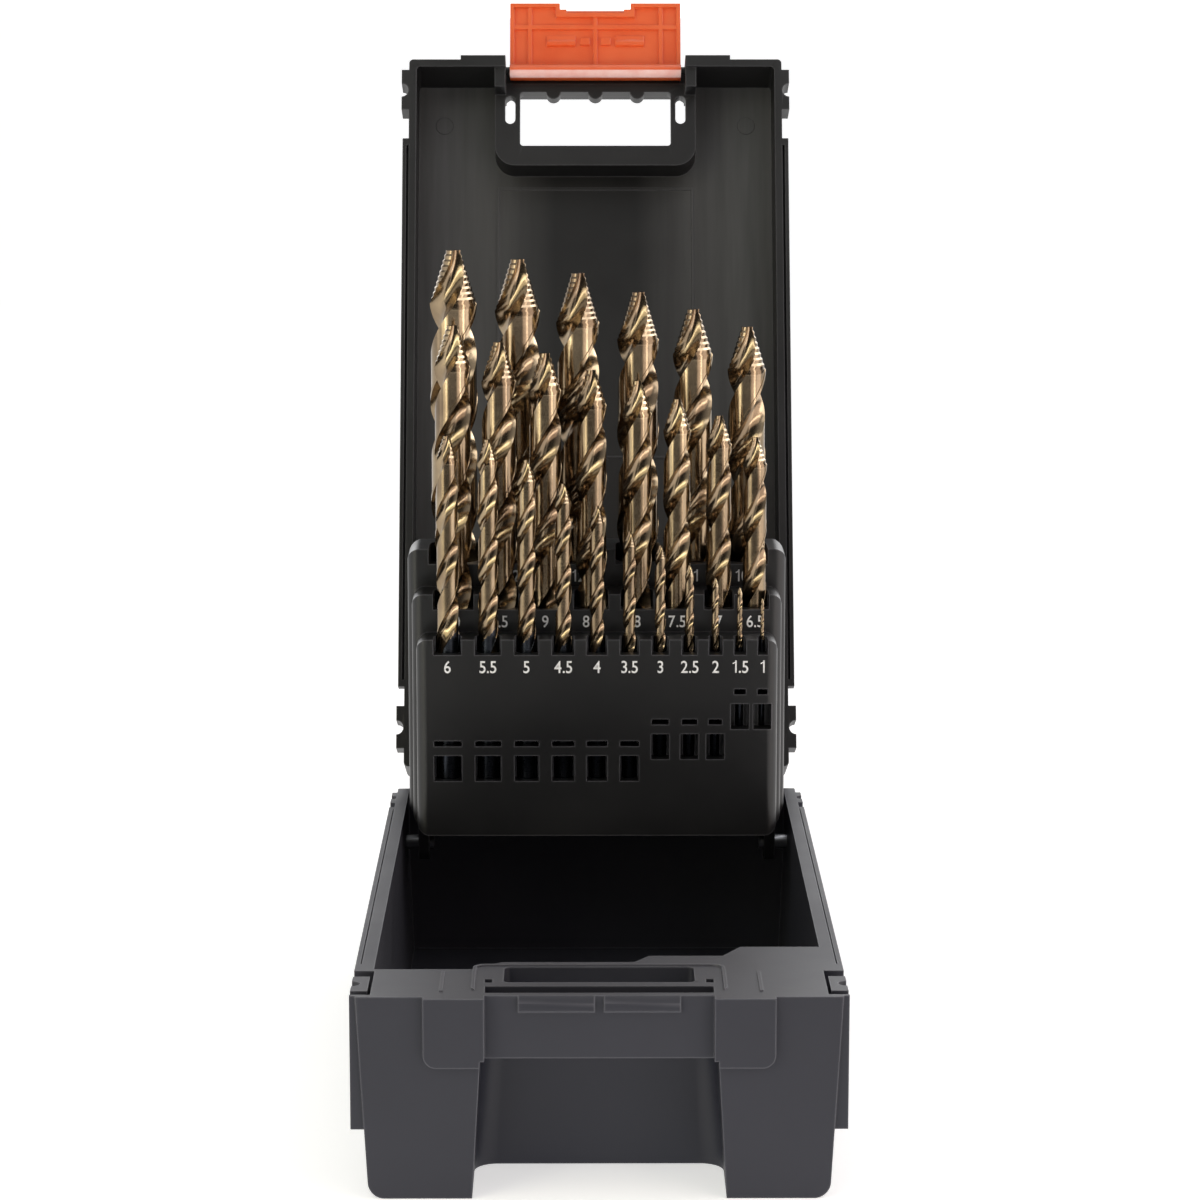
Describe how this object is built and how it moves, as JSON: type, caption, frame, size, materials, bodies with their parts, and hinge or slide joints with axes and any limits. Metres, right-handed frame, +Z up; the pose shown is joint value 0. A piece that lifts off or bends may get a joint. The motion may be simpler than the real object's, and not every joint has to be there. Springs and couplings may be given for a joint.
{
  "type": "drill bit case",
  "caption": "Open hard case for twist drills: tray, lid leaning back on its hinge, three-tier rack that folds with the lid, orange snap latch and stepped-point twist drills.",
  "frame": {"origin": "on the ground, under the middle of the base tray", "axes": "+X to the right seen from the front, +Y from the front of the case to its hinge, +Z up"},
  "size_m": [0.1152, 0.3134, 0.2662],
  "materials": {
    "case_grey": "fine moulded texture",
    "case_black": "fine moulded texture",
    "latch_orange": "smooth moulded",
    "drill_steel": "bronze tempered, ground flutes",
    "pin_steel": "drawn wire"
  },
  "bodies": {
    "base_body": {"base": "case_grey", "hinge_pin_left": "pin_steel", "hinge_pin_right": "pin_steel", "rack_pin_left": "pin_steel", "rack_pin_right": "pin_steel"},
    "lid_body": {"lid": "case_black", "latch_pin": "pin_steel"},
    "latch_body": {"latch": "latch_orange"},
    "rack_body": {"rack": "case_black"},
    "drill_13_body": {"drill_13": "drill_steel"},
    "drill_12_5_body": {"drill_12_5": "drill_steel"},
    "drill_12_body": {"drill_12": "drill_steel"},
    "drill_11_5_body": {"drill_11_5": "drill_steel"},
    "drill_11_body": {"drill_11": "drill_steel"},
    "drill_10_5_body": {"drill_10_5": "drill_steel"},
    "drill_10_body": {"drill_10": "drill_steel"},
    "drill_9_5_body": {"drill_9_5": "drill_steel"},
    "drill_9_body": {"drill_9": "drill_steel"},
    "drill_8_5_body": {"drill_8_5": "drill_steel"},
    "drill_8_body": {"drill_8": "drill_steel"},
    "drill_7_5_body": {"drill_7_5": "drill_steel"},
    "drill_7_body": {"drill_7": "drill_steel"},
    "drill_6_5_body": {"drill_6_5": "drill_steel"},
    "drill_6_body": {"drill_6": "drill_steel"},
    "drill_5_5_body": {"drill_5_5": "drill_steel"},
    "drill_5_body": {"drill_5": "drill_steel"},
    "drill_4_5_body": {"drill_4_5": "drill_steel"},
    "drill_4_body": {"drill_4": "drill_steel"},
    "drill_3_5_body": {"drill_3_5": "drill_steel"},
    "drill_3_body": {"drill_3": "drill_steel"},
    "drill_2_5_body": {"drill_2_5": "drill_steel"},
    "drill_2_body": {"drill_2": "drill_steel"},
    "drill_1_5_body": {"drill_1_5": "drill_steel"},
    "drill_1_body": {"drill_1": "drill_steel"}
  },
  "joints": [
    {"name": "lid_hinge", "type": "hinge", "parent": "base_body", "child": "lid_body", "pos_m": [0, 0.1098, 0.0499], "axis": [-1, 0, 0], "range_deg": [-111, 0]},
    {"name": "rack_fold", "type": "hinge", "parent": "base_body", "child": "rack_body", "pos_m": [0, 0.0864, 0.0378], "axis": [-1, 0, 0], "range_deg": [-90, 0]},
    {"name": "latch_hinge", "type": "hinge", "parent": "lid_body", "child": "latch_body", "pos_m": [0, 0.18863, 0.24662], "axis": [-1, 0, 0], "range_deg": [-90, 0]},
    {"name": "drill_13_lift", "type": "slide", "parent": "rack_body", "child": "drill_13_body", "axis": [0, 0, 1], "range_m": [0, 0.075]},
    {"name": "drill_12_5_lift", "type": "slide", "parent": "rack_body", "child": "drill_12_5_body", "axis": [0, 0, 1], "range_m": [0, 0.075]},
    {"name": "drill_12_lift", "type": "slide", "parent": "rack_body", "child": "drill_12_body", "axis": [0, 0, 1], "range_m": [0, 0.075]},
    {"name": "drill_11_5_lift", "type": "slide", "parent": "rack_body", "child": "drill_11_5_body", "axis": [0, 0, 1], "range_m": [0, 0.075]},
    {"name": "drill_11_lift", "type": "slide", "parent": "rack_body", "child": "drill_11_body", "axis": [0, 0, 1], "range_m": [0, 0.075]},
    {"name": "drill_10_5_lift", "type": "slide", "parent": "rack_body", "child": "drill_10_5_body", "axis": [0, 0, 1], "range_m": [0, 0.075]},
    {"name": "drill_10_lift", "type": "slide", "parent": "rack_body", "child": "drill_10_body", "axis": [0, 0, 1], "range_m": [0, 0.065]},
    {"name": "drill_9_5_lift", "type": "slide", "parent": "rack_body", "child": "drill_9_5_body", "axis": [0, 0, 1], "range_m": [0, 0.065]},
    {"name": "drill_9_lift", "type": "slide", "parent": "rack_body", "child": "drill_9_body", "axis": [0, 0, 1], "range_m": [0, 0.065]},
    {"name": "drill_8_5_lift", "type": "slide", "parent": "rack_body", "child": "drill_8_5_body", "axis": [0, 0, 1], "range_m": [0, 0.065]},
    {"name": "drill_8_lift", "type": "slide", "parent": "rack_body", "child": "drill_8_body", "axis": [0, 0, 1], "range_m": [0, 0.065]},
    {"name": "drill_7_5_lift", "type": "slide", "parent": "rack_body", "child": "drill_7_5_body", "axis": [0, 0, 1], "range_m": [0, 0.065]},
    {"name": "drill_7_lift", "type": "slide", "parent": "rack_body", "child": "drill_7_body", "axis": [0, 0, 1], "range_m": [0, 0.065]},
    {"name": "drill_6_5_lift", "type": "slide", "parent": "rack_body", "child": "drill_6_5_body", "axis": [0, 0, 1], "range_m": [0, 0.065]},
    {"name": "drill_6_lift", "type": "slide", "parent": "rack_body", "child": "drill_6_body", "axis": [0, 0, 1], "range_m": [0, 0.044]},
    {"name": "drill_5_5_lift", "type": "slide", "parent": "rack_body", "child": "drill_5_5_body", "axis": [0, 0, 1], "range_m": [0, 0.044]},
    {"name": "drill_5_lift", "type": "slide", "parent": "rack_body", "child": "drill_5_body", "axis": [0, 0, 1], "range_m": [0, 0.044]},
    {"name": "drill_4_5_lift", "type": "slide", "parent": "rack_body", "child": "drill_4_5_body", "axis": [0, 0, 1], "range_m": [0, 0.044]},
    {"name": "drill_4_lift", "type": "slide", "parent": "rack_body", "child": "drill_4_body", "axis": [0, 0, 1], "range_m": [0, 0.044]},
    {"name": "drill_3_5_lift", "type": "slide", "parent": "rack_body", "child": "drill_3_5_body", "axis": [0, 0, 1], "range_m": [0, 0.044]},
    {"name": "drill_3_lift", "type": "slide", "parent": "rack_body", "child": "drill_3_body", "axis": [0, 0, 1], "range_m": [0, 0.044]},
    {"name": "drill_2_5_lift", "type": "slide", "parent": "rack_body", "child": "drill_2_5_body", "axis": [0, 0, 1], "range_m": [0, 0.044]},
    {"name": "drill_2_lift", "type": "slide", "parent": "rack_body", "child": "drill_2_body", "axis": [0, 0, 1], "range_m": [0, 0.044]},
    {"name": "drill_1_5_lift", "type": "slide", "parent": "rack_body", "child": "drill_1_5_body", "axis": [0, 0, 1], "range_m": [0, 0.044]},
    {"name": "drill_1_lift", "type": "slide", "parent": "rack_body", "child": "drill_1_body", "axis": [0, 0, 1], "range_m": [0, 0.044]}
  ],
  "couplings": [
    {"joint": "rack_fold", "follows": "lid_hinge", "ratio": 0.8108}
  ]
}
